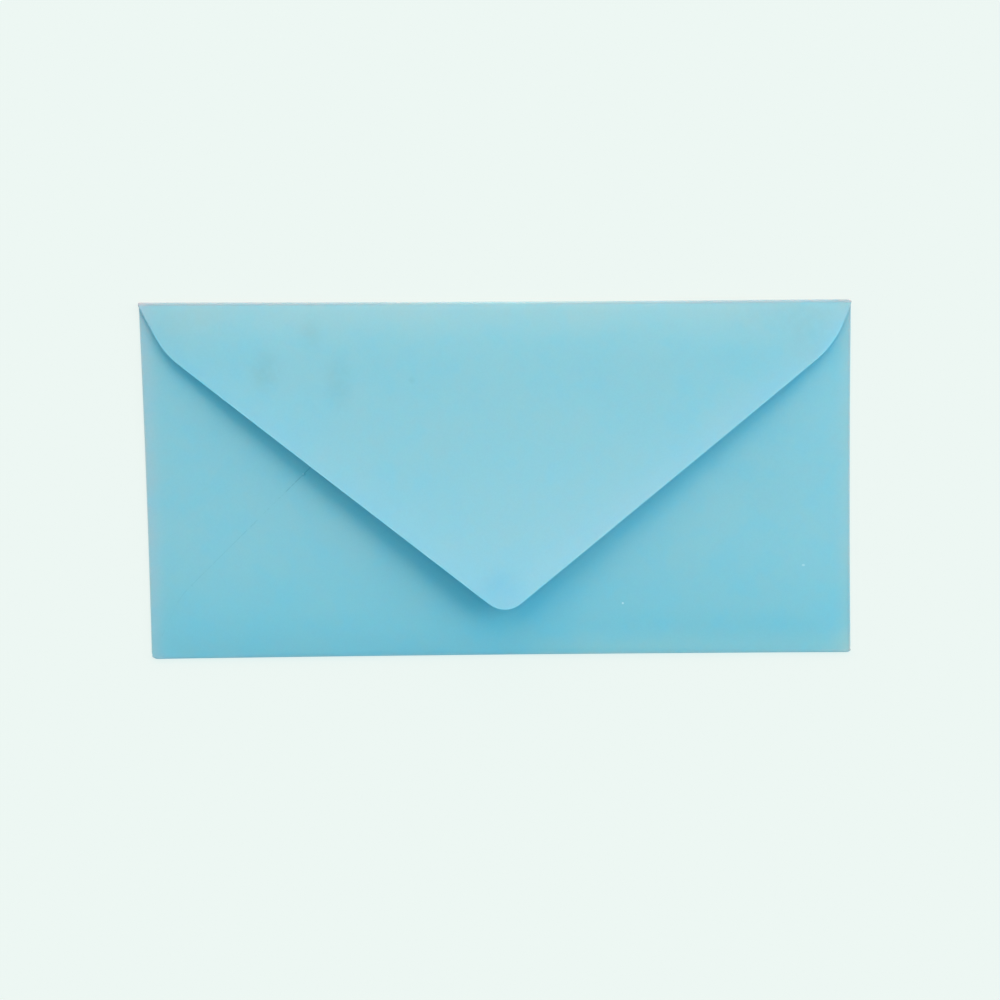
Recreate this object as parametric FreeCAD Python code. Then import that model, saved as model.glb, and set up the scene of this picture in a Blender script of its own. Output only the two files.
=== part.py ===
"""A paper envelope lying flap side up: one blank with four flaps, folded and glued along two slanting seams.

Millimetres. X runs along the long folds, Y from the bottom fold to the top fold, Z up.
The origin is under the middle of the address side, which lies on the table at Z = 0.
"""

import FreeCAD
import Part
import math
import os

# Finished envelope, the long size that takes a sheet folded in three
LENGTH = 220.0
WIDTH = 110.0
PAPER = 0.15
CORNER_RADIUS = 1.1

# Clear height inside each fold
POCKET_ROOM = 0.4
SEAM_ROOM = 0.1
TOP_FOLD_ROOM = 2.0

# How far a flap goes on past its fold before its edge starts to taper
FLAP_LAND = 0.3

# How the pocket's upper side swells from its folds to its flat middle
SWELL_RISE = 0.9
SIDE_SWELL_RUN = 22.0
BOTTOM_SWELL_RUN = 14.0

# How the top flap springs up from its fold, in degrees, then runs on with a slight arch
SPRING_ANGLE = 10.0
SPRING_RUN = 18.0
LIFT_ANGLE = 3.5
ARCH_ANGLE = 0.7

# Top flap, cut as a V whose straight edges would meet at its apex
FLAP_APEX_SETBACK = 13.7
FLAP_SHOULDER_IN = 8.0
FLAP_SHOULDER_DEPTH = 15.4
FLAP_SHOULDER_RADIUS = 31.0
FLAP_TIP_RADIUS = 8.2

# Bottom flap, whose slanting edges are the seams, up to the throat edge that a letter goes in past
THROAT_DEPTH = 22.0
THROAT_EDGE = 57.0
THROAT_CORNER_RADIUS = 10.0
SEAM_SHOULDER_IN = 10.0
SEAM_SHOULDER_DEPTH = 20.0
SEAM_SHOULDER_RADIUS = 20.0

# Side flaps, tucked under the bottom flap as far as their tips' overlap
SIDE_SHOULDER_IN = 8.0
SIDE_SHOULDER_DEPTH = 11.2
SIDE_SHOULDER_RADIUS = 12.0
SIDE_TIP_RADIUS = 8.0
SIDE_TIP_OVERLAP = 25.4

# Gum between the bottom flap and each side flap, in a band beside the seam
GUM_INSET = 2.5
GUM_WIDTH = 7.0
GUM_END_GAP = 6.0

half_length = LENGTH / 2
half_width = WIDTH / 2
flap_depth = WIDTH - FLAP_APEX_SETBACK
bottom_flap_depth = WIDTH - THROAT_DEPTH

# Half the height of the blocks that cut outlines through the envelope
beyond = WIDTH

ORIGIN = FreeCAD.Vector(0, 0, 0)
RIGHTWARD = FreeCAD.Vector(1, 0, 0)
UP = FreeCAD.Vector(0, 0, 1)


class Fold:
    """A fold drawn along X at Y = distance, with its flap coming back over the panel towards Y = 0."""

    def __init__(self, distance, length, room):
        self.distance = distance
        self.length = length
        self.middle_radius = (room + PAPER) / 2
        self.axis_distance = distance - room / 2 - PAPER
        self.taper_distance = self.axis_distance - FLAP_LAND


side_fold = Fold(half_length, WIDTH, POCKET_ROOM)
bottom_fold = Fold(half_width, LENGTH, POCKET_ROOM + PAPER + SEAM_ROOM)
top_fold = Fold(half_width, LENGTH, TOP_FOLD_ROOM)


def flat(x, y):
    return FreeCAD.Vector(x, y, 0)


def rounded_corner(before, corner, after, radius):
    """Where an arc tangent to both sides of a corner starts, passes midway and ends."""
    if not radius:
        return corner, corner, corner
    back = (before - corner).normalize()
    ahead = (after - corner).normalize()
    half_angle = back.getAngle(ahead) / 2
    reach = radius / math.tan(half_angle)
    inward = (back + ahead).normalize()
    middle = corner + inward * (radius / math.sin(half_angle) - radius)
    return corner + back * reach, middle, corner + ahead * reach


def rounded_outline(points, radii):
    """Closed wire through flat points, with each corner rounded to its radius, 0 for a sharp one."""
    count = len(points)
    corners = [
        rounded_corner(points[i - 1], points[i], points[(i + 1) % count], radii[i])
        for i in range(count)
    ]
    edges = []
    for i, (entry, middle, leave) in enumerate(corners):
        if radii[i]:
            edges.append(Part.Arc(entry, middle, leave).toShape())
        next_entry = corners[(i + 1) % count][0]
        edges.append(Part.LineSegment(leave, next_entry).toShape())
    return Part.Wire(edges)


def polygon(points):
    return Part.makePolygon(points + points[:1])


def prism(outline):
    """The upright block of a flat outline, from far below the envelope to far above it."""
    block = Part.Face(outline).extrude(UP * (2 * beyond))
    return block.translated(UP * -beyond)


def direction(angle):
    """The unit vector in the YZ plane at an angle from +Y."""
    return FreeCAD.Vector(0, math.cos(angle), math.sin(angle))


def left_of(angle):
    return direction(angle + math.pi / 2)


def step(station, length, turn):
    """The station, a point and its heading, reached after a length that turns left evenly by an angle."""
    point, heading = station
    if not turn:
        return point + direction(heading) * length, heading
    radius = length / turn
    centre = point + left_of(heading) * radius
    return centre - left_of(heading + turn) * radius, heading + turn


def walk(start, moves):
    """The stations along a path that starts flat at a point and makes each (length, turn) move."""
    stations = [(start, 0.0)]
    for length, turn in moves:
        stations.append(step(stations[-1], length, turn))
    return stations


def beside(station, offset):
    point, heading = station
    return point + left_of(heading) * offset


def path_edges(stations, moves, offset):
    """Edges that run beside a walked path, at an offset to its left."""
    edges = []
    for i, (length, turn) in enumerate(moves):
        first = beside(stations[i], offset)
        last = beside(stations[i + 1], offset)
        if turn:
            halfway = step(stations[i], length / 2, turn / 2)
            edges.append(Part.Arc(first, beside(halfway, offset), last).toShape())
        else:
            edges.append(Part.LineSegment(first, last).toShape())
    return edges


def fold_start(fold):
    """The middle of the panel's paper where the fold begins, at the fold's left end."""
    return FreeCAD.Vector(-fold.length / 2, fold.axis_distance, PAPER / 2)


def folded_moves(fold, leaving_slope, runs):
    """Moves that go round the fold until the flap leaves at a slope, then make the runs."""
    bend = math.pi - leaving_slope
    return [(fold.middle_radius * bend, bend)] + runs


def swell_moves(fold, run):
    """Moves for a pocket flap: its fold, one long arc that climbs by the swell, and a level stretch."""
    slope = 2 * math.atan(SWELL_RISE / run)
    arc_length = run / math.sin(slope) * slope
    return folded_moves(fold, slope, [(arc_length, slope), (2 * fold.distance, 0.0)])


def spring_moves():
    """Moves for the top flap: its fold, a stretch that springs up, and a long slight arch to the tip."""
    spring = math.radians(SPRING_ANGLE)
    easing = math.radians(SPRING_ANGLE - LIFT_ANGLE)
    arch = math.radians(ARCH_ANGLE)
    return folded_moves(top_fold, spring, [(SPRING_RUN, easing), (flap_depth, arch)])


def folded_flap(fold, moves, outline):
    """A flap of paper that follows the moves, trimmed to its outline as seen from above."""
    stations = walk(fold_start(fold), moves)
    inner = path_edges(stations, moves, PAPER / 2)
    outer = path_edges(stations, moves, -PAPER / 2)
    far_end = Part.LineSegment(beside(stations[-1], PAPER / 2), beside(stations[-1], -PAPER / 2))
    near_end = Part.LineSegment(beside(stations[0], -PAPER / 2), beside(stations[0], PAPER / 2))
    loop = inner + [far_end.toShape()] + outer[::-1] + [near_end.toShape()]
    strip = Part.Face(Part.Wire(loop)).extrude(RIGHTWARD * fold.length)
    return strip.common(prism(outline))


def space_under(fold, moves):
    """Everything under the middle of a flap's paper, past its fold."""
    stations = walk(fold_start(fold), moves)[1:]
    upper = path_edges(stations, moves[1:], 0.0)
    near, far = stations[0][0], stations[-1][0]
    corners = [far, far - UP * beyond, near - UP * beyond, near]
    lower = [Part.LineSegment(a, b).toShape() for a, b in zip(corners, corners[1:])]
    return Part.Face(Part.Wire(upper + lower)).extrude(RIGHTWARD * fold.length)


def tapering_outline(fold, ends, shoulder, shoulder_radius, far_corners, far_radius):
    """Outline of a flap that narrows from its ends along X, past a shoulder (in, depth), to far corners."""
    low, high = ends
    shoulder_in, shoulder_depth = shoulder
    outside = fold.distance + PAPER
    shoulder_y = fold.distance - shoulder_depth
    points = [
        flat(low, outside),
        flat(low, fold.taper_distance),
        flat(low + shoulder_in, shoulder_y),
        *far_corners,
        flat(high - shoulder_in, shoulder_y),
        flat(high, fold.taper_distance),
        flat(high, outside),
    ]
    far_radii = [far_radius] * len(far_corners)
    return rounded_outline(points, [0, 0, shoulder_radius, *far_radii, shoulder_radius, 0, 0])


def top_flap():
    """The sealing flap: a deep V that springs up from its fold and stands clear of the pocket."""
    ends = (-half_length, half_length)
    shoulder = (FLAP_SHOULDER_IN, FLAP_SHOULDER_DEPTH)
    apex = flat(0, half_width - flap_depth)
    outline = tapering_outline(top_fold, ends, shoulder, FLAP_SHOULDER_RADIUS, [apex], FLAP_TIP_RADIUS)
    return folded_flap(top_fold, spring_moves(), outline)


def bottom_flap():
    """The flap that closes the pocket. Its slanting edges lie on the side flaps as the two seams."""
    ends = (-half_length, half_length)
    shoulder = (SEAM_SHOULDER_IN, SEAM_SHOULDER_DEPTH)
    throat_y = half_width - bottom_flap_depth
    throat = [flat(-THROAT_EDGE / 2, throat_y), flat(THROAT_EDGE / 2, throat_y)]
    outline = tapering_outline(
        bottom_fold, ends, shoulder, SEAM_SHOULDER_RADIUS, throat, THROAT_CORNER_RADIUS
    )
    flap = folded_flap(bottom_fold, swell_moves(bottom_fold, BOTTOM_SWELL_RUN), outline)
    return flap.rotated(ORIGIN, UP, 180)


def seam_ends():
    """The left seam's two ends before rounding: its shoulder and its throat corner."""
    lower = flat(-half_length + SEAM_SHOULDER_IN, -half_width + SEAM_SHOULDER_DEPTH)
    upper = flat(-THROAT_EDGE / 2, -half_width + bottom_flap_depth)
    return lower, upper


def side_flap_depth():
    """The left flap's depth: to the seam at half the envelope's width, and on by the overlap."""
    lower, upper = seam_ends()
    along = (upper - lower) / (upper.y - lower.y)
    seam_at_middle = lower - along * lower.y
    return seam_at_middle.x + half_length + SIDE_TIP_OVERLAP


def side_outline():
    """The left flap's outline, drawn with its fold along X before it is turned into place."""
    ends = (-bottom_fold.taper_distance, top_fold.taper_distance)
    shoulder = (SIDE_SHOULDER_IN, SIDE_SHOULDER_DEPTH)
    apex = flat(sum(ends) / 2, half_length - side_flap_depth())
    return tapering_outline(side_fold, ends, shoulder, SIDE_SHOULDER_RADIUS, [apex], SIDE_TIP_RADIUS)


def left_flap():
    flap = folded_flap(side_fold, swell_moves(side_fold, SIDE_SWELL_RUN), side_outline())
    return flap.rotated(ORIGIN, UP, 90)


def left_gum():
    """The gum between the left flap and the bottom flap, reaching into the middle of each one's paper."""
    lower, upper = seam_ends()
    along = (upper - lower).normalize()
    inward = flat(along.y, -along.x)
    band_length = (side_flap_depth() - SEAM_SHOULDER_IN) / along.x
    near = lower + along * GUM_END_GAP + inward * GUM_INSET
    far = near + along * (band_length - GUM_END_GAP)
    across = inward * GUM_WIDTH
    band = prism(polygon([near, far, far + across, near + across]))
    side_flap_block = prism(side_outline()).rotated(ORIGIN, UP, 90)
    under_left = space_under(side_fold, swell_moves(side_fold, SIDE_SWELL_RUN))
    under_bottom = space_under(bottom_fold, swell_moves(bottom_fold, BOTTOM_SWELL_RUN))
    gum = band.common(side_flap_block).cut(under_left.rotated(ORIGIN, UP, 90))
    return gum.common(under_bottom.rotated(ORIGIN, UP, 180))


def address_panel():
    """The flat face on the table. It reaches its full length only beside the long folds."""
    lower_right = [
        flat(side_fold.axis_distance, -bottom_fold.taper_distance),
        flat(half_length, -bottom_fold.taper_distance),
        flat(half_length, -bottom_fold.axis_distance),
    ]
    upper_right = [
        flat(half_length, top_fold.axis_distance),
        flat(half_length, top_fold.taper_distance),
        flat(side_fold.axis_distance, top_fold.taper_distance),
    ]
    right = upper_right + lower_right
    left = [flat(-point.x, point.y) for point in reversed(right)]
    return Part.Face(polygon(right + left)).extrude(UP * PAPER)


def mirrored(shape):
    return shape.mirror(ORIGIN, RIGHTWARD)


def envelope():
    """The folded and glued blank as one solid, with its four corners rounded together."""
    left = left_flap()
    gum = left_gum()
    pieces = [bottom_flap(), left, mirrored(left), gum, mirrored(gum), top_flap()]
    blank = address_panel().fuse(pieces)
    signs = ((-1, -1), (1, -1), (1, 1), (-1, 1))
    corners = [flat(x * half_length, y * half_width) for x, y in signs]
    rounding = prism(rounded_outline(corners, [CORNER_RADIUS] * len(corners)))
    return blank.common(rounding).removeSplitter()


def main():
    os.makedirs("parts", exist_ok=True)
    shape = envelope()
    shape.exportStep("parts/envelope.step")
    box = shape.BoundBox
    print("envelope", len(shape.Solids), "solid", "valid" if shape.isValid() else "not valid")
    print("size", round(box.XLength, 3), round(box.YLength, 3), round(box.ZLength, 3))
    print("volume", round(shape.Volume, 1), "faces", len(shape.Faces))


main()
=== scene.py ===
import math

import bpy
import numpy as np
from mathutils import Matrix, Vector


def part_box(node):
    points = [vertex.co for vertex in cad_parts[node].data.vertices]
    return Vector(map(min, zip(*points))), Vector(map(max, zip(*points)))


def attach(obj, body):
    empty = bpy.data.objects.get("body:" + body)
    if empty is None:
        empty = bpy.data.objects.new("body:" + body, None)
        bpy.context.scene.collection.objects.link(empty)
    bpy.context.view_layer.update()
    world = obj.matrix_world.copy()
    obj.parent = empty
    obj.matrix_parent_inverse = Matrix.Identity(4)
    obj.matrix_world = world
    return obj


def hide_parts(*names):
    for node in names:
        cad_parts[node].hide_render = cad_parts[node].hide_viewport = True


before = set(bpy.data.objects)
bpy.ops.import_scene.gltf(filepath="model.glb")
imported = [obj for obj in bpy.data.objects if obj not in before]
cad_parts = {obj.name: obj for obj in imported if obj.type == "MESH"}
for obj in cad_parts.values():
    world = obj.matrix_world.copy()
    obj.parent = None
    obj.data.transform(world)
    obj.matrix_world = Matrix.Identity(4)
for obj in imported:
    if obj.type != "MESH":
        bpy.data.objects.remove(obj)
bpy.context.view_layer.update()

# Sizes, from the frame and in millimetres turned to metres
MM = 0.001
HALF_LENGTH, HALF_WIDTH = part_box("envelope")[1].xy
PAPER = 0.15 * MM

# Clear height inside each fold, and between the layers at the seams. The bottom fold goes round a side flap
POCKET_ROOM = 0.4 * MM
SEAM_ROOM = 0.02 * MM
BOTTOM_FOLD_ROOM = POCKET_ROOM + PAPER + SEAM_ROOM
TOP_FOLD_ROOM = 2.0 * MM

# How far each fold's axis is from the envelope's middle
SIDE_AXIS = HALF_LENGTH - POCKET_ROOM / 2 - PAPER
BOTTOM_AXIS = HALF_WIDTH - BOTTOM_FOLD_ROOM / 2 - PAPER
TOP_AXIS = HALF_WIDTH - TOP_FOLD_ROOM / 2 - PAPER

# The pocket's swell, over this distance in from the side folds and up from the bottom fold
SWELL_RISE = 0.9 * MM
SIDE_SWELL_RUN = 22.0 * MM
BOTTOM_SWELL_RUN = 16.0 * MM

# The top flap's spring: its slope off the fold, its slope after the first stretch, and its arch from there
SPRING_ANGLE = math.radians(10.0)
SPRING_RUN = 18.0 * MM
LIFT_ANGLE = math.radians(3.38)
ARCH_ANGLE = math.radians(0.7)

# Towards its ends the top fold is pressed flatter over this distance, by this share of its height. The flap
# beyond the fold loses this share of its rise there, and leans in from the side folds by this much
FOLD_END_RUN = 40.0 * MM
FOLD_END_PRESS = {"left": 0.45, "right": 0.30}
FLAP_END_PRESS = 0.8
FLAP_END_IN = 0.12 * MM

# Slow waviness of the top flap and of the pocket, as (height, wave length, turn in radians). On the flap it
# grows from nothing at the fold to its full height at this depth
FLAP_RIPPLE = (0.10 * MM, 90 * MM, 0.5)
POCKET_RIPPLE = (0.06 * MM, 70 * MM, -0.4)
FLAP_RIPPLE_DEPTH = 25.0 * MM
RIPPLE_STARTS = (1.3, 0.4)
RIPPLE_CROSSING = 0.7

# Top flap's outline: corners, as (in from the side fold, depth from the top fold), and their radii. The
# apex is (right of the middle, depth)
FLAP_LEFT_START = 1.1 * MM
FLAP_LEFT_SHOULDER = (7.70 * MM, 15.55 * MM)
FLAP_LEFT_SHOULDER_RADIUS = 26.0 * MM
FLAP_APEX = (0.84 * MM, 96.45 * MM)
FLAP_TIP_RADIUS = 7.8 * MM
FLAP_RIGHT_SHOULDER = (5.35 * MM, 13.70 * MM)
FLAP_RIGHT_SHOULDER_RADIUS = 30.0 * MM
FLAP_RIGHT_START = 0.7 * MM

# Bottom flap's outline: seam corners, as (in from the side fold, depth from the bottom fold), and throat
SEAM_START = 0.8 * MM
SEAM_SHOULDER = (10.0 * MM, 20.0 * MM)
SEAM_SHOULDER_RADIUS = 20.0 * MM
THROAT_DEPTH = 22.0 * MM
THROAT_EDGE = 57.0 * MM
THROAT_CORNER_RADIUS = 10.0 * MM

# Side flaps' outline: corners, as (in from the long fold, depth from the side fold), and their radii
SIDE_START = 0.65 * MM
SIDE_SHOULDER = (8.0 * MM, 11.2 * MM)
SIDE_SHOULDER_RADIUS = 12.0 * MM
SIDE_FLAP_DEPTH = 72.0 * MM
SIDE_TIP_RADIUS = 8.0 * MM
FOLD_END_GAP = 0.3 * MM

# How this envelope departs from a true rectangle: corners out of square, corners worn round, edges bowed in
CORNER_SHIFTS = {
    (-1, 1): (0.08 * MM, 0.0),
    (1, 1): (-1.00 * MM, -0.05 * MM),
    (-1, -1): (1.47 * MM, 0.0),
}
CORNER_RADII = {(-1, 1): 0.3 * MM, (1, 1): 1.2 * MM, (1, -1): 1.2 * MM, (-1, -1): 1.8 * MM}
END_BOW = 0.3 * MM
LONG_BOW = 0.3 * MM

# Mesh lines. Columns run out from the middle and stand closer towards the side folds: the stops short of a
# fold, and the steps in each stretch, up to the fold and the edge. The panel's rows have the same, and each
# flap has rows round its fold and rows on its run
COLUMN_STOPS = [0.0, 3.0 * MM, 9.0 * MM, 24.0 * MM, 80.0 * MM, 98.0 * MM, 107.0 * MM]
COLUMN_STEPS = [4, 6, 8, 20, 14, 12, 5, 1]
ROW_STOPS = [-40.0 * MM, 40.0 * MM]
ROW_STEPS = [12, 34, 12]
FOLD_ROWS = 8
TOP_FLAP_ROWS = 52
POCKET_ROWS = 48
ARC_STEPS = 16
PATH_STEPS = {"fold": 400, "run": 6000}
SHARP_EDGE = math.radians(50)

# A distance beyond any on the envelope, and one too small to matter
FAR = 1.0
HAIR = 0.001 * MM

# Camera, at the photograph's angle
CAMERA_PLACE = (-4.98 * MM, 13.01 * MM, 344.66 * MM)
CAMERA_TURN = tuple(math.radians(angle) for angle in (-3.204, -0.882, -0.404))
CAMERA_LENS = 40.0
CAMERA_NEAREST = 0.01

# Paper: its own blue, and the tints that its mottle, clouds and grain multiply it by
PAPER_BLUE = (0.256, 0.618, 0.757)
MOTTLE_TINT = (1.05, 1.0, 0.98)
CLOUD_TINT = (0.95, 1.0, 1.02)
GRAIN_TINT = (0.975, 0.98, 0.98)

# Patches of noise, as (scale per millimetre, detail, roughness, level where they start, level where full)
MOTTLE = (0.045, 3.0, 0.5, 0.42, 0.62)
CLOUDS = (0.11, 4.0, 0.6, 0.45, 0.65)
GRAIN = (1.7, 5.0, 0.7, 0.35, 0.65)
SMUDGE_PATCHES = (0.35, 3.0, 0.5, 0.1, 0.6)
SEAM_PATCHES = (0.22, 4.0, 0.7, 0.38, 0.60)
SEAM_KNOTS = (0.30, 2.0, 0.5, 0.60, 0.68)

# Heights in millimetres between which the pocket gives way to the top flap, and how far up a face has to
# look, as its normal's Z, to start to count as an outer face and to count fully
FLAP_LEVEL = (2.0, 2.3)
OUTER_FACE = (0.2, 0.6)

# Broad tones, as (tint, where it lies, stretches). Each stretch is (what it goes by, where the tint starts,
# where it is full), in millimetres, and the tint is as strong as all its stretches' eases multiplied. A
# stretch given twice counts squared, and one that starts past the middle leaves some of the tint there
TONES = {
    "left end": ((0.965, 0.985, 0.99), "everywhere", [("x", 20.0, -90.0)]),
    "right end": ((0.99, 1.005, 1.012), "everywhere", [("x", -20.0, 90.0)]),
    # Painted shade: the pocket darker and less red towards the bottom fold and under the flap's tip
    "painted shade low on the pocket": ((0.82, 0.965, 0.99), "pocket", [("y", -12.0, -50.0)]),
    # Partly wear and partly painted sheen: the pocket paler and redder within 8 mm of the left side fold,
    # where it rounds over
    "left fold strip": (
        (1.34, 0.99, 0.965),
        "pocket",
        [("from_side", 8.0, 0.0), ("from_side", 8.0, 0.0), ("x", 1.0, -1.0)],
    ),
    # Partly wear and partly painted sheen: the pocket paler and redder within 8 mm of the right side fold,
    # where it rounds over
    "right fold strip": (
        (1.18, 0.98, 0.92),
        "pocket",
        [("from_side", 8.0, 0.0), ("from_side", 8.0, 0.0), ("x", -1.0, 1.0)],
    ),
    "hem": ((1.0, 0.97, 0.96), "pocket", [("y", -45.0, -54.0)]),
    "right half of the hem": ((1.27, 1.07, 1.01), "pocket", [("y", -45.0, -54.0), ("x", 0.0, 35.0)]),
    "lower flap": ((1.12, 1.04, 1.045), "flap", [("y", 48.0, -30.0)]),
    "right edge of the flap": ((1.07, 1.00, 0.99), "flap", [("from_edge", 12.0, 0.0), ("x", 10.0, 35.0)]),
    # Painted highlight: a pale cyan line along the top flap's cut edge
    "painted highlight on the flap's cut edge": (
        (0.97, 1.07, 1.08),
        "everywhere",
        [("from_edge", 0.45, 0.1), ("z", *FLAP_LEVEL)],
    ),
    # Partly wear and partly painted light: the outer face paler and redder near the top fold, where it
    # faces the lamps
    "top fold strip": ((1.13, 1.01, 0.98), "outer face", [("y", 41.0, 53.0)]),
    # Painted shade: the top fold's outer rim darker and greyer, more so towards the side folds
    "painted shade on the top rim": ((1.00, 0.82, 0.84), "everywhere", [("from_top", 1.5, 0.7), ("from_side", 150.0, 30.0)]),
    # Painted shade: the right fold's outer rim darker and greyer
    "painted shade on the right rim": ((1.00, 0.91, 0.92), "everywhere", [("from_right", 1.2, 0.3)]),
    # Partly wear and partly painted sheen: the bottom fold's rim paler and redder
    "wear and painted sheen on the bottom fold": ((1.17, 1.0, 0.98), "everywhere", [("from_bottom", 1.5, 0.2)]),
}

# Wear and painted sheen on the side and bottom folds: its tint, its reach in over a ragged line, and that
# line's noise
WEAR_AND_SHEEN_TINT = (1.14, 1.00, 0.96)
WEAR_AND_SHEEN_REACH = (0.35, -0.1)
RAGGED_BY = 0.9
RAGGED_NOISE = (0.9, 3.0, 0.5)

# Marks, as (x, y, half width, half height, strength) in millimetres: smudges and the bluer paper at the tip
# are on the top flap, and pale specks on the pocket
SMUDGE_TINT = (0.90, 0.885, 0.865)
SMUDGES = [
    (-71.0, 33.8, 7.0, 10.0, 0.60),
    (-72.6, 33.6, 2.6, 4.0, 0.25),
    (-48.6, 30.0, 6.5, 12.0, 0.50),
    (-57.0, 45.0, 5.0, 8.0, 0.45),
    (95.5, 43.8, 14.0, 14.0, 0.30),
    (-26.4, 30.7, 1.6, 1.6, 0.55),
    (-90.0, 50.0, 26.0, 9.0, 0.25),
    (88.0, 51.0, 30.0, 9.0, 0.35),
]
TIP_TINT = (0.89, 0.955, 0.99)
TIP_PATCH = (-0.4, -33.7, 11.0, 9.0, 1.0)
SPECK_TINT = (2.2, 1.35, 1.25)
SPECKS = [
    (37.85, -38.75, 0.45, 0.45, 1.0),
    (94.9, -27.3, 0.7, 0.5, 0.5),
    (-60.85, 2.3, 0.35, 0.35, 0.6),
]

# How far out from its middle a mark has its full strength, as a share of its half width and half height
SMUDGE_CORE = 0.0
TIP_CORE = 0.2
SPECK_CORE = 0.4

# The left seam's dark hairline: its breadth, the part of it that is full, and what a knot adds to it, then
# the heights between which it sets in, those between which it clears up, and how faint it is before them
SEAM_TINT = (0.66, 0.76, 0.79)
HAIRLINE = 0.34
HAIRLINE_CORE = 0.05
KNOT = 0.7
SEAM_FOOT = (-52.5, -47.0)
SEAM_HEAD = (-22.0, -4.0)
SEAM_FAINT = 0.30

# Matt surface: a thin sheet that light soaks into, with fibres that stand out a little
PAPER_ROUGHNESS = 0.85
PAPER_SPECULAR = 0.3
SOAK = 0.7
SOAK_COLOURS = (0.4, 0.8, 1.0)
SOAK_DEPTH = 0.4 * MM
FIBRE_NOISE = (3.2, 4.0, 0.65)
FIBRE_STRENGTH = 0.25
FIBRE_HEIGHT = 0.02 * MM

# Light: broad lamps as (azimuth from +Y, elevation, spread, share of the light on a level face), and a fill
LAMPS = {
    "beyond_top_fold": (5.0, 24.0, 46.0, (0.40, 0.13, 0.05)),
    "beyond_left": (-50.0, 20.0, 40.0, (0.17, 0.06, 0.02)),
    "beyond_right": (64.0, 24.0, 46.0, (0.26, 0.21, 0.20)),
}
FILL_SHARE = (0.17, 0.60, 0.73)

# Floor: its colour, how much of it shows evenly, whatever shadow or gleam lies on it, how far it reaches,
# and its level, a little under the envelope so that their faces never share a plane
FLOOR_COLOUR = (0.847, 0.930, 0.896, 1)
FLOOR_EVENNESS = 0.85
FLOOR_REACH = 3.0
FLOOR_LEVEL = -0.02 * MM


def outline(points, radii):
    """A flap's outline as a dense path: straight runs joined by arcs tangent to both sides of each corner.

    The arc's centre lies on the corner's bisector, a radius over the sine of half the angle away.
    """
    points = np.array(points, float)
    path = [points[:1]]
    for before, corner, after, radius in zip(points, points[1:], points[2:], radii):
        back = (before - corner) / np.linalg.norm(before - corner)
        ahead = (after - corner) / np.linalg.norm(after - corner)
        half_angle = math.acos(back @ ahead) / 2
        bisector = (back + ahead) / np.linalg.norm(back + ahead)
        centre = corner + bisector * radius / math.sin(half_angle)
        first = corner + back * radius / math.tan(half_angle) - centre
        last = corner + ahead * radius / math.tan(half_angle) - centre
        start = math.atan2(first[1], first[0])
        turn = (math.atan2(last[1], last[0]) - start + math.pi) % (2 * math.pi) - math.pi
        angles = start + turn * np.linspace(0, 1, ARC_STEPS)
        path.append(centre + radius * np.stack([np.cos(angles), np.sin(angles)], 1))
    path.append(points[-1:])
    return np.concatenate(path)


def folded_path(room, slope, runs):
    """Arc length, reach past the fold's axis and height of paper that folds over and runs back.

    The heading turns evenly along each (length, turn) run, and the place adds up its cosine and sine.
    """
    radius = (room + PAPER) / 2
    bend = math.pi - slope
    lengths, turns = zip((radius * bend, bend), *runs)
    marks = np.concatenate([[0], np.cumsum(lengths)])
    fold_part = np.linspace(0, marks[1], PATH_STEPS["fold"])
    along = np.concatenate([fold_part, np.linspace(marks[1], marks[-1], PATH_STEPS["run"])[1:]])
    heading = np.interp(along, marks, np.concatenate([[0], np.cumsum(turns)]))
    middle = (heading[1:] + heading[:-1]) / 2
    pieces = np.diff(along)
    reach = np.concatenate([[0], np.cumsum(np.cos(middle) * pieces)])
    height = np.concatenate([[0], np.cumsum(np.sin(middle) * pieces)]) + PAPER / 2
    return along, reach, height, marks[1]


def flap_grid(path, room, depth, rows):
    """Depth and height of a flap's grid, one row for each stretch and one column for each depth given.

    Each column runs round the fold in even steps, then on to where its depth is that of the outline. The
    fold's steps take three fifths of its length at most, for a column that is hardly longer than the fold.
    """
    along, reach, height, bend_end = path
    axis = room / 2 + PAPER
    outward = np.argmax(reach)
    end = np.interp(depth, axis - reach[outward:] - PAPER / 2, along[outward:])
    bend = np.minimum(bend_end, 0.6 * end)
    around = np.linspace(0, 1, FOLD_ROWS + 1)[:-1, None] * bend
    onward = bend + np.linspace(0, 1, rows + 1)[:, None] * (end - bend)
    place = np.concatenate([around, onward])
    return axis - np.interp(place, along, reach), np.interp(place, along, height)


def divided(stops, steps):
    """Grid lines from stop to stop, each stretch in its own number of even steps."""
    parts = [np.linspace(a, b, n, endpoint=False) for a, b, n in zip(stops, stops[1:], steps)]
    return np.concatenate(parts + [stops[-1:]])


class Blank:
    """The sheet's mesh while it is put together: points, and four-sided faces that share them.

    Each point is x, y and z, and then how far it is from the cut edge of the top or bottom flap.
    """

    def __init__(self):
        self.points = np.zeros((0, 4))
        self.faces = []

    def add(self, x, y, z, from_edge=FAR):
        """Adds a grid of points and gives their numbers, in the same rows and columns."""
        grid = np.stack(np.broadcast_arrays(x, y, z, from_edge), -1)
        first = len(self.points)
        self.points = np.concatenate([self.points, grid.reshape(-1, 4)])
        return first + np.arange(grid[..., 0].size).reshape(grid.shape[:2])

    def skin(self, numbers, keep=None):
        """Faces between neighbouring rows and columns of numbered points."""
        quads = np.stack([numbers[:-1, :-1], numbers[:-1, 1:], numbers[1:, 1:], numbers[1:, :-1]], -1)
        self.faces.append(quads[keep] if keep is not None else quads.reshape(-1, 4))

    def finished(self):
        """The points that faces use, and the faces renumbered to them."""
        used, faces = np.unique(np.concatenate(self.faces), return_inverse=True)
        return self.points[used], faces.reshape(-1, 4)


def from_sides(x):
    """How far a point is from the nearer side fold: half the length less the size of x."""
    return HALF_LENGTH - np.abs(x)


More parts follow.
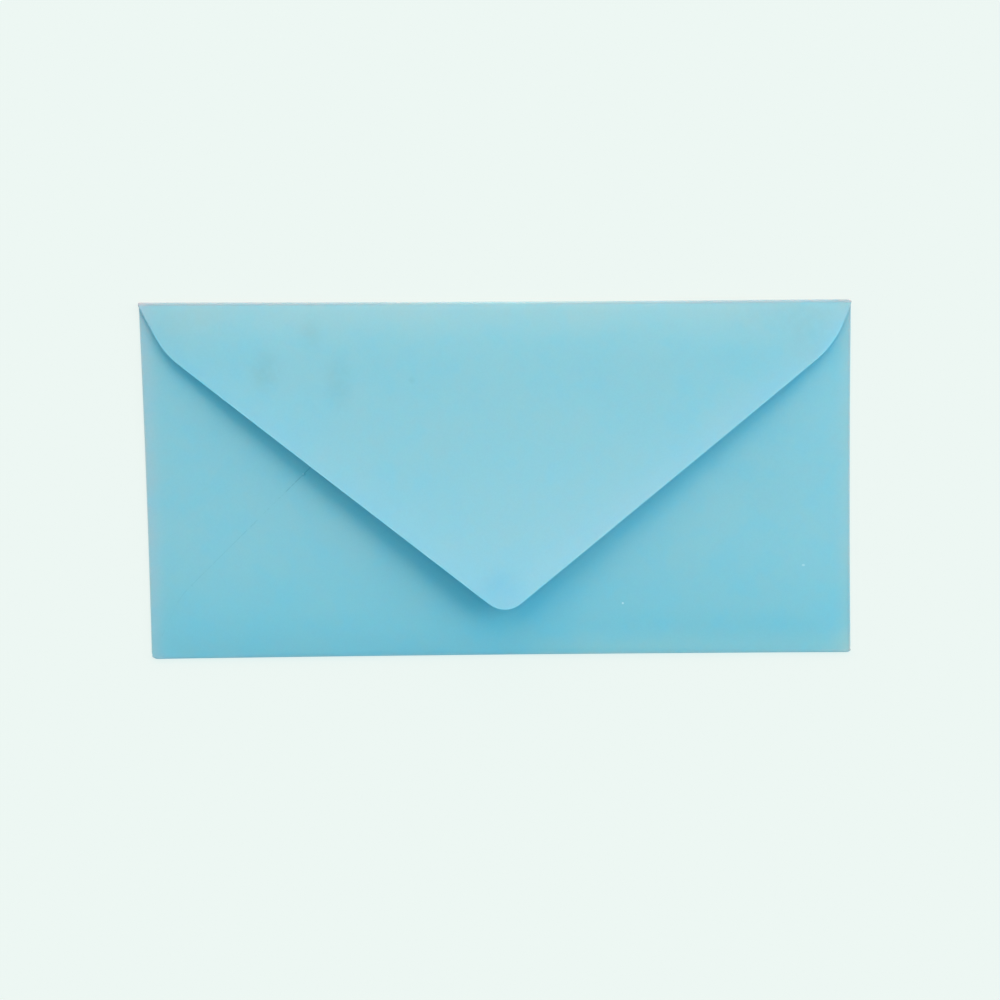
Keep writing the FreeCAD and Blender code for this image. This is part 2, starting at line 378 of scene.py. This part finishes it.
def from_cut_edge(x, depth, end):
    """How far points are from a flap's cut edge, on columns at x that end at the depths given.

    The run left to the column's end, over the root of one plus the edge's slope squared.
    """
    return (end - depth) / np.hypot(1, np.gradient(end, x))


def swell(inward, upward):
    """Height of the pocket's swell: a rounded rise from the side folds times one from the bottom fold.

    Each rise is one less the square of the share of its run that is still to go.
    """
    side = 1 - np.clip(1 - inward / SIDE_SWELL_RUN, 0, 1) ** 2
    bottom = 1 - np.clip(1 - upward / BOTTOM_SWELL_RUN, 0, 1) ** 2
    return SWELL_RISE * side * bottom


def ripple(x, y, size, length, turn):
    """A slow waviness: the product of two sine waves that cross at a right angle, turned by an angle."""
    across = (x * math.cos(turn) + y * math.sin(turn)) / length
    along = (y * math.cos(turn) - x * math.sin(turn)) / length
    first, second = RIPPLE_STARTS
    crossing = np.sin(along * 2 * math.pi * RIPPLE_CROSSING + second)
    return size * np.sin(across * 2 * math.pi + first) * crossing


def pocket_height(x, up):
    """What the swell and a slow ripple add to the pocket's upper side, none of it at the folds.

    The ripple is scaled by the share of its full rise that the swell has reached.
    """
    wave = ripple(x, up, *POCKET_RIPPLE)
    return swell(from_sides(x), up) * (1 + wave / SWELL_RISE)


def panel_lines():
    """X and Y of the address panel's grid lines: X out to the full length, and Y from fold axis to axis.

    Both are even steps from stop to stop, and X is mirrored from right to left.
    """
    right = divided(np.array(COLUMN_STOPS + [SIDE_AXIS, HALF_LENGTH]), COLUMN_STEPS)
    x = np.concatenate([-right[:0:-1], right])
    low, high = FOLD_END_GAP - BOTTOM_AXIS, TOP_AXIS - FOLD_END_GAP
    between = divided(np.array([low, *ROW_STOPS, high]), ROW_STEPS)
    y = np.concatenate([[-BOTTOM_AXIS], between, [TOP_AXIS]])
    return x, y


def build_blank():
    """The whole sheet: the address panel, then each flap folded off one side of it.

    The panel is a level grid between the folds' axes. Only its first and last rows, beside the long folds,
    go on past the side folds' axes to the full length.
    """
    blank = Blank()
    x, y = panel_lines()
    panel = blank.add(x[None, :], y[:, None], PAPER / 2)
    within_side_folds = np.abs((x[1:] + x[:-1]) / 2) < SIDE_AXIS
    kept = np.tile(within_side_folds, (len(y) - 1, 1))
    kept[[0, -1]] = True
    blank.skin(panel, kept)

    add_top_flap(blank, panel[-1], x)
    add_bottom_flap(blank, panel[0], x)
    left_column, right_column = np.flatnonzero(np.abs(x) < SIDE_AXIS + HAIR)[[0, -1]]
    add_side_flap(blank, panel[1:-1, left_column], y[1:-1], -1)
    add_side_flap(blank, panel[1:-1, right_column], y[1:-1], 1)
    return blank


def top_flap_edge():
    """The top flap's cut edge from left to right: a V with two rounded shoulders and a rounded tip."""
    left_in, left_depth = FLAP_LEFT_SHOULDER
    right_in, right_depth = FLAP_RIGHT_SHOULDER
    corners = [
        (-HALF_LENGTH, FLAP_LEFT_START),
        (left_in - HALF_LENGTH, left_depth),
        FLAP_APEX,
        (HALF_LENGTH - right_in, right_depth),
        (HALF_LENGTH, FLAP_RIGHT_START),
    ]
    return outline(corners, [FLAP_LEFT_SHOULDER_RADIUS, FLAP_TIP_RADIUS, FLAP_RIGHT_SHOULDER_RADIUS])


def pressed_at_ends(x, height):
    """The top flap's height, with the ends of its fold pressed flatter.

    Nearness is one at a side fold and nought at the end of the fold's pressed run. The fold's own height
    shrinks with the cube of the nearness, and what the flap rises beyond it with the fourth power.
    """
    nearness = np.clip(1 - from_sides(x) / FOLD_END_RUN, 0, 1)
    fold_press = nearness**3 * np.where(x < 0, FOLD_END_PRESS["left"], FOLD_END_PRESS["right"])
    rise = height - PAPER / 2
    fold_rise = np.minimum(rise, TOP_FOLD_ROOM + PAPER)
    flap_rise = rise - fold_rise
    return PAPER / 2 + fold_rise * (1 - fold_press) + flap_rise * (1 - FLAP_END_PRESS * nearness**4)


def add_top_flap(blank, fold_numbers, x):
    """The raised top flap: its fold's path carried along the top fold, as deep as the cut edge at each x.

    The ends are pressed flatter, a ripple grows with the square of the depth, and x leans in with height.
    """
    runs = [(SPRING_RUN, SPRING_ANGLE - LIFT_ANGLE), (2 * HALF_WIDTH, ARCH_ANGLE)]
    path = folded_path(TOP_FOLD_ROOM, SPRING_ANGLE, runs)
    end = np.interp(x, *top_flap_edge().T)
    depth, height = flap_grid(path, TOP_FOLD_ROOM, end, TOP_FLAP_ROWS)
    wave = ripple(x, depth, *FLAP_RIPPLE) * np.clip(depth / FLAP_RIPPLE_DEPTH, 0, 1) ** 2
    height = pressed_at_ends(x, height) + wave
    across = x * (1 - FLAP_END_IN / HALF_LENGTH * np.clip(height / TOP_FOLD_ROOM, 0, 1))
    from_edge = from_cut_edge(x, depth, end)
    rows = blank.add(across[1:], HALF_WIDTH - depth[1:], height[1:], from_edge[1:])
    blank.skin(np.concatenate([fold_numbers[None], rows]))


def add_bottom_flap(blank, fold_numbers, x):
    """The bottom flap over the side flaps: its fold's path carried along the bottom fold, up to the throat.

    The path runs back level, and the pocket's swell and ripple are added to its height.
    """
    path = folded_path(BOTTOM_FOLD_ROOM, 0.0, [(2 * HALF_WIDTH, 0.0)])
    shoulder_in, shoulder_depth = SEAM_SHOULDER
    right_half = [
        (HALF_LENGTH, SEAM_START),
        (HALF_LENGTH - shoulder_in, shoulder_depth),
        (THROAT_EDGE / 2, 2 * HALF_WIDTH - THROAT_DEPTH),
    ]
    edge = outline(
        [(-across, depth) for across, depth in right_half] + right_half[::-1],
        [SEAM_SHOULDER_RADIUS, THROAT_CORNER_RADIUS, THROAT_CORNER_RADIUS, SEAM_SHOULDER_RADIUS],
    )
    end = np.interp(x, *edge.T)
    depth, height = flap_grid(path, BOTTOM_FOLD_ROOM, end, POCKET_ROWS)
    height = height + pocket_height(x, depth)
    from_edge = from_cut_edge(x, depth, end)
    rows = blank.add(x, depth[1:] - HALF_WIDTH, height[1:], from_edge[1:])
    blank.skin(np.concatenate([fold_numbers[None], rows])[:, ::-1])


def add_side_flap(blank, fold_numbers, y, side):
    """One tucked-in side flap: its fold's path carried along the side fold, on the side given by its sign.

    The path runs back level, and the pocket's swell and ripple are added to its height.
    """
    path = folded_path(POCKET_ROOM, 0.0, [(HALF_LENGTH, 0.0)])
    shoulder_in, shoulder_depth = SIDE_SHOULDER
    low, high = y[0], y[-1]
    corners = [
        (low, SIDE_START),
        (low + shoulder_in, shoulder_depth),
        ((low + high) / 2, SIDE_FLAP_DEPTH),
        (high - shoulder_in, shoulder_depth),
        (high, SIDE_START),
    ]
    edge = outline(corners, [SIDE_SHOULDER_RADIUS, SIDE_TIP_RADIUS, SIDE_SHOULDER_RADIUS])
    depth, height = flap_grid(path, POCKET_ROOM, np.interp(y, *edge.T), POCKET_ROWS)
    x = side * (HALF_LENGTH - depth)
    height = height + pocket_height(x, y + HALF_WIDTH)
    rows = blank.add(x[1:], y, height[1:])
    blank.skin(np.concatenate([fold_numbers[None], rows])[:, ::side])


def rounded_corners(x, y):
    """Draws a square at each corner in to a quarter circle, along the rays from the circle's centre.

    A point moves to its larger side over its distance from that centre, times where it was.
    """
    for (sx, sy), radius in CORNER_RADII.items():
        dx = sx * x - (HALF_LENGTH - radius)
        dy = sy * y - (HALF_WIDTH - radius)
        in_square = (dx > 0) & (dy > 0)
        distance = np.maximum(np.hypot(dx, dy), HAIR)
        shrink = np.where(in_square, np.maximum(dx, dy) / distance, 1)
        x = np.where(in_square, sx * (HALF_LENGTH - radius + dx * shrink), x)
        y = np.where(in_square, sy * (HALF_WIDTH - radius + dy * shrink), y)
    return x, y


def as_it_lies(points):
    """Moves points from the true rectangle to this envelope's own outline.

    The corners are rounded first. With u and v as x and y over half the length and half the width, an edge
    bows in by the fourth power of the one times one less the square of the other, and each corner's shift
    fades evenly to nothing at the other corners.
    """
    x, y = rounded_corners(points[:, 0], points[:, 1])
    u, v = x / HALF_LENGTH, y / HALF_WIDTH
    moved_x = x - END_BOW * np.sign(u) * u**4 * (1 - v**2)
    moved_y = y - LONG_BOW * np.sign(v) * v**4 * (1 - u**2)
    for (sx, sy), (shift_x, shift_y) in CORNER_SHIFTS.items():
        weight = (1 + sx * u) * (1 + sy * v) / 4
        moved_x += weight * shift_x
        moved_y += weight * shift_y
    return np.stack([moved_x, moved_y, points[:, 2]], 1)


def build_envelope():
    """The folded sheet as a closed mesh: the blank's middle surface, given the paper's thickness.

    Its points remember their place on the true rectangle and their distance from the cut edge, in
    millimetres, for the paper's tones and marks to go by.
    """
    points, faces = build_blank().finished()
    mesh = bpy.data.meshes.new("folded_envelope")
    mesh.from_pydata(as_it_lies(points), [], faces)
    place = mesh.attributes.new("place", "FLOAT_VECTOR", "POINT")
    place.data.foreach_set("vector", (points[:, :3] / MM).ravel())
    from_edge = mesh.attributes.new("from_edge", "FLOAT", "POINT")
    from_edge.data.foreach_set("value", points[:, 3] / MM)
    piece = bpy.data.objects.new("folded_envelope", mesh)
    bpy.context.collection.objects.link(piece)
    give_thickness(piece)
    piece.data.shade_smooth()
    piece.data.set_sharp_from_angle(angle=SHARP_EDGE)
    return piece


def give_thickness(piece):
    """Makes a sheet as thick as the paper, half of it on each side of its middle surface."""
    thickness = piece.modifiers.new("paper", "SOLIDIFY")
    thickness.thickness = PAPER
    thickness.offset = 0.0
    bpy.context.view_layer.update()
    evaluated = piece.evaluated_get(bpy.context.evaluated_depsgraph_get())
    piece.data = bpy.data.meshes.new_from_object(evaluated)
    piece.modifiers.clear()


class Finish:
    """A material's nodes, with a short call for each kind that the paper needs."""

    def __init__(self, name):
        self.material = bpy.data.materials.new(name)
        self.material.use_nodes = True
        self.tree = self.material.node_tree
        self.shader = self.tree.nodes["Principled BSDF"]

    def node(self, kind, **settings):
        """A new node of this kind, with these settings."""
        made = self.tree.nodes.new(kind)
        for name, value in settings.items():
            setattr(made, name, value)
        return made

    def feed(self, socket, value):
        """Links a node's output to a socket, or sets a plain value on it."""
        if isinstance(value, bpy.types.NodeSocket):
            self.tree.links.new(value, socket)
        else:
            socket.default_value = value

    def reckon(self, operation, first, second=0.0):
        """What a sum, difference or other step of arithmetic gives for one or two values."""
        made = self.node("ShaderNodeMath", operation=operation)
        self.feed(made.inputs[0], first)
        self.feed(made.inputs[1], second)
        return made.outputs[0]

    def times(self, first, *others):
        """All the values multiplied."""
        product = first
        for other in others:
            product = self.reckon("MULTIPLY", product, other)
        return product

    def ease(self, value, start, stop):
        """Nought at the start, one at the stop, and a smooth step between them."""
        made = self.node("ShaderNodeMapRange", interpolation_type="SMOOTHSTEP")
        self.feed(made.inputs["Value"], value)
        self.feed(made.inputs["From Min"], start)
        self.feed(made.inputs["From Max"], stop)
        return made.outputs["Result"]

    def noise(self, place, scale, detail, roughness):
        """Cloudy noise over the place, from nought to one."""
        made = self.node("ShaderNodeTexNoise")
        self.feed(made.inputs["Vector"], place)
        self.feed(made.inputs["Scale"], scale)
        self.feed(made.inputs["Detail"], detail)
        self.feed(made.inputs["Roughness"], roughness)
        return made.outputs["Fac"]

    def patches(self, place, scale, detail, roughness, start, full):
        """Noise eased to nought below the one level and to one above the other."""
        return self.ease(self.noise(place, scale, detail, roughness), start, full)

    def spot(self, place, x, y, half_width, half_height, strength, core):
        """A round or oval spot: nought at its edge, and its strength from its core to its middle."""
        level = self.node("ShaderNodeVectorMath", operation="MULTIPLY")
        self.feed(level.inputs[0], place)
        self.feed(level.inputs[1], (1 / half_width, 1 / half_height, 0.0))
        distance = self.node("ShaderNodeVectorMath", operation="DISTANCE")
        self.feed(distance.inputs[0], level.outputs[0])
        self.feed(distance.inputs[1], (x / half_width, y / half_height, 0.0))
        return self.times(self.ease(distance.outputs["Value"], 1.0, core), strength)

    def tint(self, colour, amount, tint, label):
        """The colour times a tint, as far as the amount says."""
        made = self.node("ShaderNodeMix", data_type="RGBA", blend_type="MULTIPLY", clamp_factor=True)
        made.label = label
        self.feed(made.inputs["Factor"], amount)
        self.feed(made.inputs[6], colour)
        self.feed(made.inputs[7], (*tint, 1.0))
        return made.outputs[2]


def paper_material():
    """Matt blue paper: mottled and fibrous, paler on its folds, with the marks of handling and some painted
    light and shade.
    """
    paint = Finish("sky_blue_paper")
    at = paper_places(paint)
    colour = paper_blue(paint, at)
    colour = broad_tones(paint, at, colour)
    colour = wear_and_sheen_on_folds(paint, at, colour)
    colour = handling_marks(paint, at, colour)
    colour = paint.tint(colour, seam_hairline(paint, at), SEAM_TINT, "seam hairline")
    paint.feed(paint.shader.inputs["Base Color"], colour)
    matt_surface(paint, at)
    return paint.material


def paper_places(paint):
    """What the paper's tones and marks go by: places in millimetres, and shares of lying on each part."""
    place = paint.node("ShaderNodeAttribute", attribute_name="place").outputs["Vector"]
    from_edge = paint.node("ShaderNodeAttribute", attribute_name="from_edge").outputs["Fac"]
    split = paint.node("ShaderNodeSeparateXYZ")
    paint.feed(split.inputs[0], place)
    x, y, z = split.outputs["X"], split.outputs["Y"], split.outputs["Z"]
    facing = paint.node("ShaderNodeSeparateXYZ")
    paint.feed(facing.inputs[0], paint.node("ShaderNodeTexCoord").outputs["Normal"])
    outer_face = paint.ease(facing.outputs["Z"], *OUTER_FACE)
    pocket_level, flap_level = FLAP_LEVEL
    return {
        "place": place,
        "x": x,
        "y": y,
        "z": z,
        "from_edge": from_edge,
        "from_side": paint.reckon("SUBTRACT", HALF_LENGTH / MM, paint.reckon("ABSOLUTE", x)),
        "from_right": paint.reckon("SUBTRACT", HALF_LENGTH / MM, x),
        "from_top": paint.reckon("SUBTRACT", HALF_WIDTH / MM, y),
        "from_bottom": paint.reckon("ADD", y, HALF_WIDTH / MM),
        "everywhere": 1.0,
        "outer face": outer_face,
        "flap": paint.times(outer_face, paint.ease(z, pocket_level, flap_level)),
        "pocket": paint.times(outer_face, paint.ease(z, flap_level, pocket_level)),
    }


def paper_blue(paint, at):
    """The paper's own blue, uneven as its pulp is."""
    blue = (*PAPER_BLUE, 1.0)
    colour = paint.tint(blue, paint.patches(at["place"], *MOTTLE), MOTTLE_TINT, "mottle")
    colour = paint.tint(colour, paint.patches(at["place"], *CLOUDS), CLOUD_TINT, "clouds")
    return paint.tint(colour, paint.patches(at["place"], *GRAIN), GRAIN_TINT, "grain")


def broad_tones(paint, at, colour):
    """The colour with each broad tone laid over it, some of which are painted light and shade."""
    for name, (tint, where, stretches) in TONES.items():
        eases = [paint.ease(at[gone_by], start, full) for gone_by, start, full in stretches]
        colour = paint.tint(colour, paint.times(at[where], *eases), tint, name)
    return colour


def wear_and_sheen_on_folds(paint, at, colour):
    """The colour with a thin pale line along the side and bottom folds, partly wear and partly painted
    sheen, ragged on its inner side.
    """
    from_fold = paint.reckon("MINIMUM", at["from_side"], at["from_bottom"])
    ragged = paint.times(paint.noise(at["place"], *RAGGED_NOISE), RAGGED_BY)
    # Partly wear and partly painted sheen along the folds' rounding
    wear_and_sheen = paint.ease(paint.reckon("SUBTRACT", from_fold, ragged), *WEAR_AND_SHEEN_REACH)
    return paint.tint(colour, wear_and_sheen, WEAR_AND_SHEEN_TINT, "worn folds")


def handling_marks(paint, at, colour):
    """The colour with the flap's smudges, its bluer tip and the pocket's pale specks."""
    cloudy = paint.patches(at["place"], *SMUDGE_PATCHES)
    for smudge in SMUDGES:
        amount = paint.times(paint.spot(at["place"], *smudge, SMUDGE_CORE), cloudy, at["flap"])
        colour = paint.tint(colour, amount, SMUDGE_TINT, "smudge")
    tip = paint.times(paint.spot(at["place"], *TIP_PATCH, TIP_CORE), at["flap"])
    colour = paint.tint(colour, tip, TIP_TINT, "tip")
    for speck in SPECKS:
        amount = paint.times(paint.spot(at["place"], *speck, SPECK_CORE), at["pocket"])
        colour = paint.tint(colour, amount, SPECK_TINT, "speck")
    return colour


def seam_hairline(paint, at):
    """How dark the left seam's hairline is: broken, broader at its knots, and clearest at its upper end."""
    knots = paint.times(paint.patches(at["place"], *SEAM_KNOTS), KNOT)
    hairline = paint.ease(at["from_edge"], paint.reckon("ADD", HAIRLINE, knots), HAIRLINE_CORE)
    broken = paint.patches(at["place"], *SEAM_PATCHES)
    on_left = paint.ease(at["x"], 0.0, -1.0)
    foot = paint.ease(at["y"], *SEAM_FOOT)
    head = paint.times(paint.ease(at["y"], *SEAM_HEAD), 1.0 - SEAM_FAINT)
    clearness = paint.reckon("ADD", SEAM_FAINT, head)
    return paint.times(hairline, broken, on_left, foot, clearness, at["pocket"])


def matt_surface(paint, at):
    """Dull, slightly soaked-in light, and fibres as a fine bump."""
    bump = paint.node("ShaderNodeBump")
    bump.inputs["Strength"].default_value = FIBRE_STRENGTH
    bump.inputs["Distance"].default_value = FIBRE_HEIGHT
    paint.feed(bump.inputs["Height"], paint.noise(at["place"], *FIBRE_NOISE))
    paint.feed(paint.shader.inputs["Normal"], bump.outputs["Normal"])
    paint.shader.inputs["Roughness"].default_value = PAPER_ROUGHNESS
    paint.shader.inputs["Specular IOR Level"].default_value = PAPER_SPECULAR
    paint.shader.inputs["Subsurface Weight"].default_value = SOAK
    paint.shader.inputs["Subsurface Radius"].default_value = SOAK_COLOURS
    paint.shader.inputs["Subsurface Scale"].default_value = SOAK_DEPTH


def add_floor():
    """A plain pale floor that shows most of its colour evenly and keeps a share of the shadow."""
    mesh = bpy.data.meshes.new("floor")
    square = [(-1, -1), (1, -1), (1, 1), (-1, 1)]
    corners = [(x * FLOOR_REACH, y * FLOOR_REACH, FLOOR_LEVEL) for x, y in square]
    mesh.from_pydata(corners, [], [(0, 1, 2, 3)])
    floor = bpy.data.objects.new("floor", mesh)
    bpy.context.collection.objects.link(floor)
    material = bpy.data.materials.new("pale_floor")
    material.use_nodes = True
    tree = material.node_tree
    shader = tree.nodes["Principled BSDF"]
    shader.inputs["Base Color"].default_value = FLOOR_COLOUR
    shader.inputs["Roughness"].default_value = 1.0
    shader.inputs["Specular IOR Level"].default_value = 0.0
    plain = tree.nodes.new("ShaderNodeEmission")
    plain.inputs["Color"].default_value = FLOOR_COLOUR
    show_plain(tree, shader, plain, tree.nodes["Material Output"], FLOOR_EVENNESS)
    mesh.materials.append(material)


def show_plain(tree, lit, plain, output, share):
    """Shows a share of the plain shader, where a surface or the sky is seen, and lights nothing with it."""
    path = tree.nodes.new("ShaderNodeLightPath")
    seen = path.outputs["Is Camera Ray"]
    for other in ("Is Glossy Ray", "Is Transmission Ray"):
        either = tree.nodes.new("ShaderNodeMath")
        either.operation = "MAXIMUM"
        tree.links.new(seen, either.inputs[0])
        tree.links.new(path.outputs[other], either.inputs[1])
        seen = either.outputs[0]
    shown = tree.nodes.new("ShaderNodeMath")
    shown.operation = "MULTIPLY"
    shown.inputs[1].default_value = share
    tree.links.new(seen, shown.inputs[0])
    mix = tree.nodes.new("ShaderNodeMixShader")
    tree.links.new(shown.outputs[0], mix.inputs["Fac"])
    tree.links.new(lit.outputs[0], mix.inputs[1])
    tree.links.new(plain.outputs[0], mix.inputs[2])
    tree.links.new(mix.outputs[0], output.inputs["Surface"])


def add_lamps():
    """Broad lamps from beyond the envelope, each of which gives a level face its own share of the light.

    A sun at an elevation needs a power of pi over the sine of the elevation to do that.
    """
    for name, (azimuth, elevation, spread, share) in LAMPS.items():
        turn, lift = math.radians(azimuth), math.radians(elevation)
        away = Vector((math.sin(turn) * math.cos(lift), math.cos(turn) * math.cos(lift), math.sin(lift)))
        light = bpy.data.lights.new(name, "SUN")
        light.angle = math.radians(spread)
        light.color = share
        light.energy = math.pi / math.sin(lift)
        lamp = bpy.data.objects.new(name, light)
        lamp.location = away
        lamp.rotation_euler = away.to_track_quat("Z", "Y").to_euler()
        bpy.context.collection.objects.link(lamp)


def add_fill():
    """A sky whose share adds up with the lamps' to white on a level face, and looks like the floor."""
    world = bpy.data.worlds.new("fill")
    world.use_nodes = True
    tree = world.node_tree
    sky = tree.nodes["Background"]
    sky.inputs["Color"].default_value = (*FILL_SHARE, 1)
    sky.inputs["Strength"].default_value = 1.0
    backdrop = tree.nodes.new("ShaderNodeBackground")
    backdrop.inputs["Color"].default_value = FLOOR_COLOUR
    show_plain(tree, sky, backdrop, tree.nodes["World Output"], 1.0)
    bpy.context.scene.world = world


def add_camera():
    """The camera, looking down on the envelope from above its middle."""
    camera = bpy.data.cameras.new("camera")
    camera.lens = CAMERA_LENS
    camera.clip_start = CAMERA_NEAREST
    seat = bpy.data.objects.new("camera", camera)
    seat.location = CAMERA_PLACE
    seat.rotation_euler = CAMERA_TURN
    bpy.context.collection.objects.link(seat)
    bpy.context.scene.camera = seat


def main():
    envelope = build_envelope()
    envelope.data.materials.clear()
    envelope.data.materials.append(paper_material())
    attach(envelope, "root")
    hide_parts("envelope")
    add_floor()
    add_lamps()
    add_fill()
    add_camera()
    bpy.context.scene.view_settings.view_transform = "Standard"


main()
